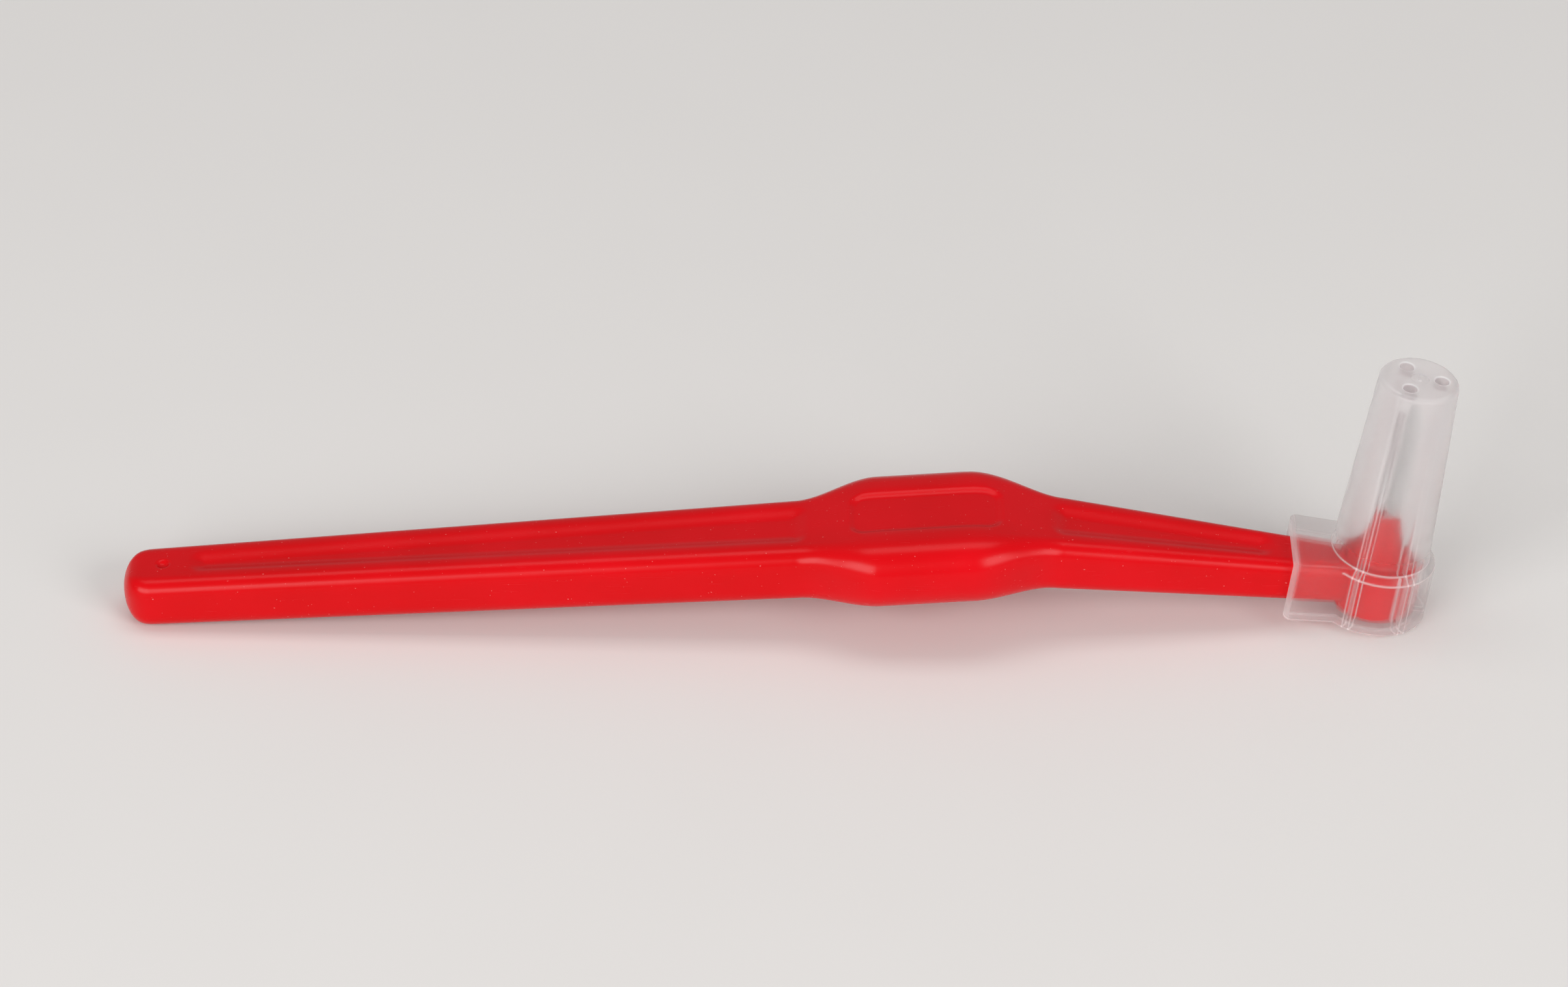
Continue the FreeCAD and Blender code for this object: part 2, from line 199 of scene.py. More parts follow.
# How much painted highlight whitens the clear cap along its edges, and the most cloudiness and
# highlight together, as shares
rim_highlight = 0.32
shoulder_highlight = 0.5
closed_end_highlight = 0.08
rib_highlight = 0.38
rib_fading = 0.8
vent_highlight = 0.9
channel_end_highlight = 0.3
channel_edge_highlight = 0.15
most_haze_and_highlight = 0.8

# How finely the pieces are drawn
smooth_degrees = 35
coarse_step = 0.5
fine_step = 0.12
fine_room = 0.75
tail_end_steps = 10
face_middle_steps = 9
face_wall_steps = 10
face_edge_steps = 3
corner_steps = 8
side_steps = 4
round_steps = 6
turned_segments = 128
vent_segments = 48
channel_loops = 8
channel_corner_loops = 8
wire_points_per_turn = 24
fold_points = 15
bridge_points = 9
wire_sides = 12
filament_sides = 5
filament_half_points = 4
overrun = 1.0
overlap = 0.02
tiny = 0.0001

# Levels along the boss's axis
boss_bottom = boss_inset
boss_top = boss_bottom + boss_height
nose_top = boss_top + nose_height
neck_middle = boss_bottom + neck_inset + neck_root_thickness / 2
roof = boss_top + seat_gap
shoulder_top = collar_height + shoulder_height
slot_top = shoulder_top - web_thickness
wire_bottom = nose_top - wire_embedded
brush_bottom = nose_top + bare_wire
quarter_height = twist_pitch / 4
brush_top = brush_bottom + quarter_turns * quarter_height
wire_tip = brush_top + loop_rise + loop_radius + strand_radius
tube_inner_end = wire_tip + tip_gap
cap_length = tube_inner_end + end_wall
twist_radius = strand_radius + solid_filament_radius + pinch_gap
collar_inner_radius = boss_radius + collar_gap
collar_radius = collar_inner_radius + collar_wall
tube_inner_base_radius = tube_base_radius - tube_base_wall
tube_inner_end_radius = tube_end_radius - tube_wall

# The head's frame in the part's own, from the record's flat mount at the boss's back
mounts = {mount["name"]: mount for mount in frame["record"]["mounts"]}
head_up = -Vector(mounts["boss_back"]["axis"]).normalized()
head_foot = Vector(mounts["boss_back"]["pos_m"]) - head_up * (boss_inset * millimetre)
head_lean = math.atan2(head_up.x, head_up.z)
head_to_part = (
    Matrix.Translation(head_foot)
    @ Matrix.Rotation(head_lean, 4, "Y")
    @ Matrix.Scale(millimetre, 4)
)


def eased(value, start, end):
    """0 before start, 1 after end, and a smooth rise between."""
    share = min(max((value - start) / (end - start), 0), 1)
    return share * share * (3 - 2 * share)


def mixed(start, end, share):
    return start + (end - start) * share


def spread(start, end, count):
    """Evenly spaced values from start to end, both included."""
    return [mixed(start, end, index / (count - 1)) for index in range(count)]


# Pieces from mesh code


def weld(mesh):
    """Joins points that lie together, drops faces without area and turns the rest outwards."""
    shape = bmesh.new()
    shape.from_mesh(mesh)
    bmesh.ops.remove_doubles(shape, verts=shape.verts, dist=tiny)
    bmesh.ops.dissolve_degenerate(shape, edges=shape.edges, dist=tiny)
    bmesh.ops.recalc_face_normals(shape, faces=shape.faces)
    shape.to_mesh(mesh)
    shape.free()


def piece(name, points, faces):
    """A closed mesh in the head's frame."""
    mesh = bpy.data.meshes.new(name)
    mesh.from_pydata([Vector(point) for point in points], [], faces)
    weld(mesh)
    made = bpy.data.objects.new(name, mesh)
    bpy.context.scene.collection.objects.link(made)
    return made


def rings(loops):
    """Points and faces that join equally long loops of points, with a face over each end."""
    points = [point for loop in loops for point in loop]
    count = len(loops[0])
    faces = []
    for row in range(len(loops) - 1):
        for column in range(count):
            after = (column + 1) % count
            here = row * count
            there = here + count
            faces.append((here + column, here + after, there + after, there + column))
    faces.append(tuple(reversed(range(count))))
    faces.append(tuple(range(len(points) - count, len(points))))
    return points, faces


def turned(profile, segments=turned_segments, place=(0, 0)):
    """Points and faces of a profile of (radius, height) turned about an upright line."""
    points = []
    for index in range(segments):
        angle = 2 * math.pi * index / segments
        for radius, z in profile:
            x = place[0] + radius * math.cos(angle)
            y = place[1] + radius * math.sin(angle)
            points.append((x, y, z))
    count = len(profile)
    faces = []
    for segment in range(segments):
        here = segment * count
        there = (segment + 1) % segments * count
        for row in range(count - 1):
            faces.append((here + row, there + row, there + row + 1, here + row + 1))
    return points, faces


def cylinder(name, radius, bottom, top):
    profile = [(0, bottom), (radius, bottom), (radius, top), (0, top)]
    return piece(name, *turned(profile))


def rounded(corners):
    """A polyline of (x, y, round) corners with each round drawn as an arc of short lines."""
    points = []
    for index, (x, y, radius) in enumerate(corners):
        corner = Vector((x, y))
        if not radius:
            points.append(tuple(corner))
            continue
        before = Vector(corners[index - 1][:2])
        after = Vector(corners[(index + 1) % len(corners)][:2])
        into = (before - corner).normalized()
        out = (after - corner).normalized()
        half = math.acos(max(-1, min(1, into.dot(out)))) / 2
        reach = radius / math.tan(half)
        centre = corner + (into + out).normalized() * (radius / math.sin(half))
        first = corner + into * reach - centre
        last = corner + out * reach - centre
        sweep = math.atan2(first.x * last.y - first.y * last.x, first.dot(last))
        for step in range(round_steps + 1):
            angle = sweep * step / round_steps
            points.append(tuple(centre + Matrix.Rotation(angle, 2) @ first))
    return points


def combine(made, operation, *tools):
    """Joins a piece with others or cuts it by them, and removes the others."""
    for tool in tools:
        change = made.modifiers.new(operation, "BOOLEAN")
        change.operation = operation
        change.solver = "EXACT"
        change.object = tool
    depsgraph = bpy.context.evaluated_depsgraph_get()
    result = bpy.data.meshes.new_from_object(made.evaluated_get(depsgraph))
    weld(result)
    made.modifiers.clear()
    made.data = result
    for tool in tools:
        bpy.data.objects.remove(tool)


# Spine and section of the handle

bend = math.radians(bend_degrees)
bend_tangent = bend_radius * math.tan(bend / 2)
bend_start = neck_length - bend_tangent
bend_end = bend_start + bend_radius * bend
handle_run = bend_end + tail_length - bend_tangent
gate_run = handle_run - gate_from_end


def spine_point(run, side, rise):
    """A point beside and above the handle's middle line, in the head's frame."""
    angle = min(max(run - bend_start, 0), bend_radius * bend) / bend_radius
    x = -min(run, bend_start) - bend_radius * math.sin(angle)
    z = neck_middle - bend_radius * (1 - math.cos(angle))
    beyond = max(run - bend_end, 0)
    x -= beyond * math.cos(angle) + rise * math.sin(angle)
    z += rise * math.cos(angle) - beyond * math.sin(angle)
    return x, side, z


def swell(run):
    rise = eased(run, grip_start, grip_full_start)
    return rise * (1 - eased(run, grip_full_end, grip_end))


def size_along(run, root, neck, grip, tail, end):
    if run < grip_start:
        plain = mixed(root, neck, run / grip_start)
    elif run < grip_end:
        plain = mixed(neck, tail, (run - grip_start) / (grip_end - grip_start))
    else:
        plain = mixed(tail, end, (run - grip_end) / (handle_run - grip_end))
    return mixed(plain, grip, swell(run))


def width_at(run):
    return size_along(run, neck_root_width, neck_width, grip_width, tail_width, tail_end_width)


def thickness_at(run):
    return size_along(
        run,
        neck_root_thickness,
        neck_thickness,
        grip_thickness,
        tail_thickness,
        tail_end_thickness,
    )


class Hollow:
    """A shallow groove or recess in a face: a tapered outline with rounded corners."""

    def __init__(self, start, end, start_half, end_half, corner, depth, outer, inner):
        self.start = start
        self.end = end
        self.start_half = start_half
        self.end_half = end_half
        self.corner = corner
        self.depth = depth
        self.outer = outer
        self.inner = inner

    def half_width(self, run):
        share = min(max((run - self.start) / (self.end - self.start), 0), 1)
        return mixed(self.start_half, self.end_half, share)

    def sunk(self, run, side):
        """How deep the hollow is at a place, with a soft wall round its outline."""
        past_end = max(self.start - run, run - self.end) + self.corner
        past_side = abs(side) - self.half_width(run) + self.corner
        past_corner = math.hypot(max(past_end, 0), max(past_side, 0))
        outside = past_corner + min(max(past_end, past_side), 0) - self.corner
        return self.depth * eased(-outside, -self.outer, self.inner)


def groove(start, end, start_half, end_half):
    corner = min(groove_corner, min(start_half, end_half) * groove_corner_share)
    walls = (groove_depth, groove_lip, groove_wall)
    return Hollow(start, end, start_half, end_half, corner, *walls)


def tail_groove(gap):
    start = bend_end + tail_groove_start
    end = handle_run - gap
    start_half = width_at(start + groove_rim) / 2 - groove_rim
    return groove(start, end, start_half, width_at(end) / 2 - groove_rim)


neck_groove = groove(
    neck_groove_start,
    neck_groove_end,
    width_at(neck_groove_start) / 2 - neck_groove_start_rim,
    width_at(neck_groove_end - groove_rim) / 2 - groove_rim,
)
recess = Hollow(
    recess_centre - recess_length / 2,
    recess_centre + recess_length / 2,
    recess_width / 2,
    recess_width / 2,
    recess_corner,
    recess_depth,
    recess_wall / 2,
    recess_wall / 2,
)
cap_tail_groove = tail_groove(tail_groove_cap_gap)
back_tail_groove = tail_groove(tail_groove_back_gap)
cap_hollows = [neck_groove, recess, cap_tail_groove]
back_hollows = [neck_groove, recess, back_tail_groove]


def sunk_on_cap_side(run, side):
    from_gate = math.hypot(run - gate_run, side)
    gate = gate_depth * (1 - eased(from_gate, gate_radius - gate_wall, gate_radius))
    return gate + sum(hollow.sunk(run, side) for hollow in cap_hollows)


def sunk_on_back(run, side):
    return sum(hollow.sunk(run, side) for hollow in back_hollows)


def wall_side(run):
    """How far from the middle the hollows' side walls lie, blended from one to the next."""
    to_recess = eased(run, neck_groove.end, recess.start)
    to_tail = eased(run, recess.end, back_tail_groove.start)
    neck_to_recess = mixed(neck_groove.half_width(run), recess.half_width(run), to_recess)
    return mixed(neck_to_recess, back_tail_groove.half_width(run), to_tail)


def handle_runs():
    """Places along the spine, close together where a hollow begins or ends."""
    fine = [(gate_run - gate_radius - fine_room, gate_run + gate_radius + fine_room)]
    for hollow in cap_hollows + back_hollows:
        fine.append((hollow.start - fine_room, hollow.start + hollow.corner + fine_room))
        fine.append((hollow.end - hollow.corner - fine_room, hollow.end + fine_room))
    last = handle_run - tail_side_round
    runs = [0]
    while runs[-1] < last:
        run = runs[-1]
        is_fine = any(start - coarse_step < run < end for start, end in fine)
        runs.append(min(run + (fine_step if is_fine else coarse_step), last))
    return runs


def section(run, side_drawn, face_drawn):
    """One loop of points round the handle, with its sides and faces drawn in by a length."""
    half_width = width_at(run) / 2 - side_drawn
    level = thickness_at(run) / 2 - face_drawn
    share = mixed(edge_round_share, grip_round_share, swell(run))
    corner = min(thickness_at(run) * share, min(half_width, level) * corner_room_share)
    flat = half_width - corner
    wall_half = min(wall_reach, flat * widest_wall_share)
    wall_least = wall_half * wall_room_share
    wall = min(max(wall_side(run) - wall_inset, wall_least), flat - wall_least)
    sides = spread(0, wall - wall_half, face_middle_steps)[:-1]
    sides += spread(wall - wall_half, wall + wall_half, face_wall_steps)[:-1]
    sides += spread(wall + wall_half, flat, face_edge_steps)[:-1]
    turns = spread(0, math.pi / 2, corner_steps + 1)
    half = [(side, level - sunk_on_cap_side(run, side)) for side in sides]
    for turn in turns:
        half.append((flat + corner * math.sin(turn), level - corner + corner * math.cos(turn)))
    for lift in spread(level - corner, corner - level, side_steps)[1:-1]:
        half.append((half_width, lift))
    for turn in turns:
        half.append((flat + corner * math.cos(turn), corner - level - corner * math.sin(turn)))
    half += [(side, sunk_on_back(run, side) - level) for side in reversed(sides)]
    whole = half + [(-side, lift) for side, lift in reversed(half[1:-1])]
    rise = grip_rise * swell(run)
    return [(side, lift + rise) for side, lift in whole]


def tail_end_loops():
    """The rounded end of the tail, whose sides and faces draw in along quarter circles."""
    start = handle_run - tail_side_round
    loops = []
    for step in range(1, tail_end_steps + 1):
        turn = math.radians(90) * step / tail_end_steps
        along = tail_side_round * math.sin(turn)
        past = max(along - tail_side_round + tail_face_round, 0)
        face_turn = math.asin(min(past / tail_face_round, 1))
        side_drawn = tail_side_round * (1 - math.cos(turn))
        face_drawn = tail_face_round * (1 - math.cos(face_turn))
        outline = section(start, side_drawn, face_drawn)
        loops.append([spine_point(start + along, side, lift) for side, lift in outline])
    return loops


def make_handle():
    loops = [
        [spine_point(run, side, lift) for side, lift in section(run, 0, 0)]
        for run in handle_runs()
    ]
    handle = piece("handle_moulding", *rings(loops + tail_end_loops()))
    profile = rounded(
        [
            (0, boss_bottom, 0),
            (boss_radius, boss_bottom, boss_round),
            (boss_radius, boss_top, boss_round),
            (nose_base_radius, boss_top, nose_base_round),
            (nose_tip_radius, nose_top, nose_tip_round),
            (0, nose_top, 0),
        ]
    )
    combine(handle, "UNION", piece("boss", *turned(profile)))
    return handle


# Cap


def channel_half_width(distance):
    return width_at(distance) / 2 + channel_gap


channel_taper = channel_half_width(1) - channel_half_width(0)


def channel_outline(distance, inward):
    """The wings and the web across the neck, with the outer sides drawn in by a length."""
    inner = channel_half_width(distance)
    outer = inner + channel_wall - inward
    small = min(channel_edge_round, (outer - inner) * widest_round_share)
    outline = rounded(
        [
            (outer, 0, small),
            (outer, shoulder_top, small),
            (-outer, shoulder_top, small),
            (-outer, 0, small),
            (-inner, 0, small),
            (-inner, slot_top, small),
            (inner, slot_top, small),
            (inner, 0, small),
        ]
    )
    return [(-distance, side, z) for side, z in outline]


def make_channel():
    """The wings and the web that close round the neck, as one loft along the neck."""
    straight_end = channel_reach - channel_corner
    places = spread(channel_start, straight_end, channel_loops)
    loops = [channel_outline(place, 0) for place in places]
    for turn in spread(0, math.pi / 2, channel_corner_loops)[1:]:
        place = straight_end + channel_corner * math.sin(turn)
        loops.append(channel_outline(place, channel_corner * (1 - math.cos(turn))))
    return piece("channel", *rings(loops))


def make_slot():
    """The block that opens the collar's side where the channel goes in."""
    slack = channel_gap + channel_wall * slot_wall_share
    levels = (-overrun, slot_top + web_thickness * slot_web_share)
    loops = []
    for z in levels:
        near = channel_half_width(slot_start) + slack
        far = channel_half_width(channel_reach) + slack
        loops.append(
            [
                (-slot_start, -near, z),
                (-channel_reach, -far, z),
                (-channel_reach, far, z),
                (-slot_start, near, z),
            ]
        )
    return piece("slot", *rings(loops))


def rib_blade(outline, angle):
    """A blade with rounded edges from a profile of radius and height, turned about the axis."""
    turn = Matrix.Rotation(math.radians(angle), 3, "Z")
    half = rib_width / 2
    blunt = rib_round * rib_blunt_share
    inner_low, outer_low, outer_high, inner_high = outline
    loops = []
    for side, inset in (
        (-half, rib_round),
        (blunt - half, blunt),
        (rib_round - half, 0),
        (half - rib_round, 0),
        (half - blunt, blunt),
        (half, rib_round),
    ):
        loops.append(
            [
                turn @ Vector((inner_low[0] + inset, side, inner_low[1] + inset)),
                turn @ Vector((outer_low[0], side, outer_low[1] + inset)),
                turn @ Vector((outer_high[0], side, outer_high[1] - inset)),
                turn @ Vector((inner_high[0] + inset, side, inner_high[1] - inset)),
            ]
        )
    return piece("rib", *rings(loops))


def rib_outlines():
    """A rib in the collar, which grips the boss, and one that runs on up the tube's wall."""
    grip_radius = boss_radius + rib_gap
    collar_depth = collar_inner_radius + collar_wall / 2
    tube_rib_top = tube_inner_end - tube_rib_end_gap
    top_share = (tube_rib_top - roof) / (tube_inner_end - roof)
    top_inner = mixed(tube_inner_base_radius, tube_inner_end_radius, top_share)
    collar_rib = [
        (grip_radius, rib_lead),
        (collar_depth, rib_lead),
        (collar_depth, roof + seat_gap),
        (grip_radius, roof + seat_gap),
    ]
    tube_rib = [
        (tube_inner_base_radius - tube_rib_height, roof),
        (tube_inner_base_radius + tube_wall / 2, roof + overlap),
        (top_inner + tube_wall / 2, tube_rib_top),
        (top_inner - tube_rib_height, tube_rib_top),
    ]
    return collar_rib, tube_rib


def make_vent(index):
    """The tool for one vent, with flared edges inside and outside."""
    angle = 2 * math.pi * index / vent_count
    flared = vent_radius + vent_flare
    profile = rounded(
        [
            (0, tube_inner_end - overrun, 0),
            (flared, tube_inner_end - overrun, 0),
            (flared, tube_inner_end, 0),
            (vent_radius, tube_inner_end + vent_flare, vent_flare),
            (vent_radius, cap_length - vent_flare, vent_flare),
            (flared, cap_length, 0),
            (flared, cap_length + overrun, 0),
            (0, cap_length + overrun, 0),
        ]
    )
    place = (vent_circle_radius * math.cos(angle), vent_circle_radius * math.sin(angle))
    return piece("vent", *turned(profile, vent_segments, place))


def make_cap():
    profile = rounded(
        [
            (0, tube_inner_end, 0),
            (tube_inner_end_radius, tube_inner_end, inner_round),
            (tube_inner_base_radius, roof, rim_round),
            (collar_inner_radius, roof, rim_round),
            (collar_inner_radius, 0, rim_round),
            (collar_radius, 0, rim_round),
            (collar_radius, collar_height, shoulder_round),
            (tube_base_radius, shoulder_top, shoulder_round),
            (tube_end_radius, cap_length, end_round),
            (gate_disc_radius, cap_length, gate_disc_round),
            (gate_disc_radius, cap_length - gate_disc_depth, gate_disc_round),
            (gate_nub_radius, cap_length - gate_disc_depth, gate_disc_round),
            (gate_nub_radius, cap_length, gate_disc_round),
            (0, cap_length, 0),
        ]
    )
    cap = piece("cap_moulding", *turned(profile))
    for index in range(vent_count):
        combine(cap, "DIFFERENCE", make_vent(index))
    for index in range(rib_count):
        angle = (index - (rib_count - 1) / 2) * rib_step_degrees
        combine(cap, "UNION", *[rib_blade(outline, angle) for outline in rib_outlines()])
    combine(cap, "DIFFERENCE", make_slot())
    channel = make_channel()
    room = cylinder("room", collar_inner_radius + overlap, -overrun, roof)
    tube_room = cylinder("tube_room", tube_inner_base_radius + overlap, 0, shoulder_top + overrun)
    combine(channel, "DIFFERENCE", room, tube_room)
    combine(cap, "UNION", channel)
    return cap


# Twisted wire and filaments


def twist_angle(height):
    return 2 * math.pi * (height - brush_bottom) / twist_pitch


def wire_line():
    """Points along the wire's middle line: up one leg, round the fold and down the other."""
    rising = []
    count = int(wire_points_per_turn * (brush_top - wire_bottom) / twist_pitch)
    for height in spread(wire_bottom, brush_top, count):
        angle = twist_angle(height)
        x, y = twist_radius * math.cos(angle), twist_radius * math.sin(angle)
        rising.append(Vector((x, y, height)))
    angle = twist_angle(brush_top) + math.radians(loop_degrees)
    out = Vector((math.cos(angle), math.sin(angle), 0))
    up = Vector((0, 0, 1))
    side = brush_top + loop_rise
    fold = []
    for turn in spread(0, math.pi, fold_points):
        rise = up * (side + loop_radius * math.sin(turn))
        fold.append(out * (loop_radius * math.cos(turn)) + rise)
    start_direction = (rising[-1] - rising[-2]).normalized()
    bridge = eased_bridge(rising[-1], start_direction, fold[0], up)
    back = [Vector((-point.x, -point.y, point.z)) for point in reversed(rising + bridge)]
    return rising + bridge + fold + back


def eased_bridge(start, start_direction, end, end_direction):
    """Points between two ends with given directions, both ends left out."""
    reach = (end - start).length * bridge_reach_share
    first = start + start_direction * reach
    second = end - end_direction * reach
    points = []
    for share in spread(0, 1, bridge_points)[1:-1]:
        left = 1 - share
        near = start * left**3 + first * (3 * left * left * share)
        points.append(near + second * (3 * left * share * share) + end * share**3)
    return points


def tube_loops(line, radius, sides):
    """Loops of points round a line, each turned as little as possible from the last."""
    loops = []
    normal = None
    for index, point in enumerate(line):
        before = line[max(index - 1, 0)]
        after = line[min(index + 1, len(line) - 1)]
        direction = (after - before).normalized()
        if normal is None:
            normal = direction.orthogonal().normalized()
        normal = (normal - direction * normal.dot(direction)).normalized()
        other = direction.cross(normal)
        loop = []
        for side in range(sides):
            angle = 2 * math.pi * side / sides
            loop.append(point + (normal * math.cos(angle) + other * math.sin(angle)) * radius)
        loops.append(loop)
    return loops


def make_wire():
    loops = tube_loops(wire_line(), strand_radius, wire_sides)
    return piece("wire_strand", *rings(loops))


def filament_line(height, chance):
    """A filament's middle line through the axis, fanned out and slightly bent at both ends."""
    along = (height - brush_bottom) / (brush_top - brush_bottom)
    reach = mixed(brush_base_radius, brush_tip_radius, min(along, 1))
    fan = chance.uniform(-filament_fan, filament_fan)
    angle = twist_angle(height) + math.pi / 2 + fan
    out = Vector((math.cos(angle), math.sin(angle), 0))
    aside = Vector((-out.y, out.x, 0))
    line = []
    for way in (-1, 1):
        end = reach * chance.uniform(shortest_filament_share, 1)
        lift = chance.uniform(-filament_lift, filament_lift)
        sway = chance.uniform(-filament_sway, filament_sway)
        half = []
        for share in spread(0, 1, filament_half_points)[1:]:
            bow = share * share
            place = out * (way * share * end) + aside * (sway * bow)
            half.append(place + Vector((0, 0, height + lift * bow)))
        line += half[::-1] + [Vector((0, 0, height))] if way < 0 else half
    return line


def make_filaments(quarter, chance):
    """The nylon filaments that one quarter turn of the wire pinches."""
    points = []
    faces = []
    for index in range(filaments_per_quarter_turn):
        share = (index + chance.random()) / filaments_per_quarter_turn
        height = brush_bottom + (quarter + share) * quarter_height
        loops = tube_loops(filament_line(height, chance), filament_radius, filament_sides)
        new_points, new_faces = rings(loops)
        start = len(points)
        points += new_points
        faces += [tuple(start + corner for corner in face) for face in new_faces]
    return piece("filament_row_%02d" % (quarter + 1), points, faces)


# Shader maths on sockets

# Numbers of the Mix node's colour sockets, whose names are also those of other sockets
mix_factor = 0
mix_first = 6
mix_second = 7
mix_result = 2


class Value:
    """A shader socket that takes part in sums: each sum adds the Math node that it needs."""

    def __init__(self, finish, socket):
        self.finish = finish
        self.socket = socket

    def output(self, name):
        return Value(self.finish, self.socket.node.outputs[name])

    def __add__(self, other):
        return self.finish.math("ADD", self, other)

    __radd__ = __add__

    def __sub__(self, other):
        return self.finish.math("SUBTRACT", self, other)

    def __rsub__(self, other):
        return self.finish.math("SUBTRACT", other, self)

    def __mul__(self, other):
        return self.finish.math("MULTIPLY", self, other)

    __rmul__ = __mul__


class Finish:
    """A material, made node by node. Sizes of its patterns are in millimetres."""

    def __init__(self, name):
        self.material = bpy.data.materials.new(name)
        self.material.use_nodes = True
        self.tree = self.material.node_tree
        self.tree.nodes.clear()
        self.place = self.node("ShaderNodeTexCoord").output("Object")

    def node(self, kind, settings=None, inputs=None):
        """A node with its settings, and its sockets set to numbers, colours or other values."""
        made = self.tree.nodes.new(kind)
        for name, setting in (settings or {}).items():
            setattr(made, name, setting)
        for name, value in (inputs or {}).items():
            if isinstance(value, Value):
                self.tree.links.new(value.socket, made.inputs[name])
            else:
                made.inputs[name].default_value = value
        return Value(self, made.outputs[0]) if len(made.outputs) else made

    def math(self, operation, *values):
        return self.node("ShaderNodeMath", {"operation": operation}, dict(enumerate(values)))

    def noise(self, size, detail=2.0, stretch=(1, 1, 1)):
        """Clouds of a size, drawn out along the axes by the stretches."""
        scale = [1 / (size * along * millimetre) for along in stretch]
        inputs = {"Vector": self.place, "Scale": scale}
        spot = self.node("ShaderNodeMapping", {"vector_type": "POINT"}, inputs)
        return self.node("ShaderNodeTexNoise", None, {"Vector": spot, "Scale": 1, "Detail": detail})

    def between(self, value, low, high):
        """0 where a value is below low, 1 where it is above high."""
        return self.node(
            "ShaderNodeMapRange",
            {"interpolation_type": "SMOOTHSTEP"},
            {"Value": value, "From Min": low, "From Max": high},
        )

    def near(self, value, target, width):
        """1 where a value is at the target, 0 where it is further off than a width."""
        return 1 - self.between(self.math("ABSOLUTE", value - target), 0, width)

    def span(self, operation, *vectors):
        """The length of a vector or the distance of two."""
        inputs = dict(enumerate(vectors))
        made = self.node("ShaderNodeVectorMath", {"operation": operation}, inputs)
        return made.output("Value")

    def colours(self, factor, first, second):
        inputs = {mix_factor: factor, mix_first: first, mix_second: second}
        return self.node("ShaderNodeMix", {"data_type": "RGBA"}, inputs).output(mix_result)

    def bumped(self, height, distance):
        """A normal from a height between 0 and 1 of a distance in millimetres."""
        inputs = {"Height": height, "Distance": distance * millimetre}
        return self.node("ShaderNodeBump", None, inputs)

    def head_place(self):
        """The place in the head's frame, in millimetres, as three values."""
        inputs = {
            "Vector": self.place,
            "Location": head_foot,
            "Rotation": (0, head_lean, 0),
            "Scale": (millimetre, millimetre, millimetre),
        }
        spot = self.node("ShaderNodeMapping", {"vector_type": "TEXTURE"}, inputs)
        parts = self.node("ShaderNodeSeparateXYZ", None, {"Vector": spot})
        return [parts.output(axis) for axis in "XYZ"]

    def plastic(self, **inputs):
        named = {name.replace("_", " "): value for name, value in inputs.items()}
        return self.node("ShaderNodeBsdfPrincipled", None, named)

    def blended(self, share, first, second):
        """The first shader where the share is 0, and the second where it is 1."""
        inputs = dict(enumerate((share, first, second)))
        return self.node("ShaderNodeMixShader", None, inputs)

    def done(self, shader):
        self.node("ShaderNodeOutputMaterial", None, {"Surface": shader})
        return self.material


def red_moulding():
    """Glossy red plastic with faint flow marks, handling scratches and a little dust."""
    deep_red = (0.6, 0.0, 0.002, 1)
    bright_red = (0.69, 0.0, 0.005, 1)
    dust_colour = (0.9, 0.55, 0.5, 1)
    flow_share = 0.6
    dust_cover = 0.35
    least_blur = 0.2
    cloud_blur = 0.1
    scratch_blur = 0.12
    scratch_height_share = 0.06
    finish = Finish("red_moulding")
    flow = finish.noise(size=16, detail=3, stretch=(3, 1, 1))
    cloud = finish.noise(size=9)
    lines = finish.noise(size=0.25, detail=3, stretch=(30, 1, 1))
    scratch = finish.between(lines, low=0.66, high=0.74)
    dust = finish.between(finish.noise(size=0.14, detail=0), low=0.84, high=0.88)
    streaks = flow * flow_share + cloud * (1 - flow_share)
    tone = finish.between(streaks, low=0.35, high=0.65)
    plain = finish.colours(tone, deep_red, bright_red)
    ripple = finish.noise(size=2.2, detail=2, stretch=(1.7, 1, 1))
    relief = ripple + scratch * scratch_height_share
    shader = finish.plastic(
        Base_Color=finish.colours(dust * dust_cover, plain, dust_colour),
        Roughness=least_blur + cloud * cloud_blur + scratch * scratch_blur,
        Normal=finish.bumped(relief, distance=0.012),
        IOR=1.45,
        Specular_IOR_Level=0.22,
        Subsurface_Weight=0.1,
        Subsurface_Radius=(1.0, 0.1, 0.1),
        Subsurface_Scale=0.001,
    )
    return finish.done(shader)


def from_vent(finish, flat):
    """How far a place is from the nearest vent's axis."""
    nearest = tube_base_radius
    for index in range(vent_count):
        angle = 2 * math.pi * index / vent_count
        axis = (vent_circle_radius * math.cos(angle), vent_circle_radius * math.sin(angle), 0)
        nearest = finish.math("MINIMUM", nearest, finish.span("DISTANCE", flat, axis))
    return nearest


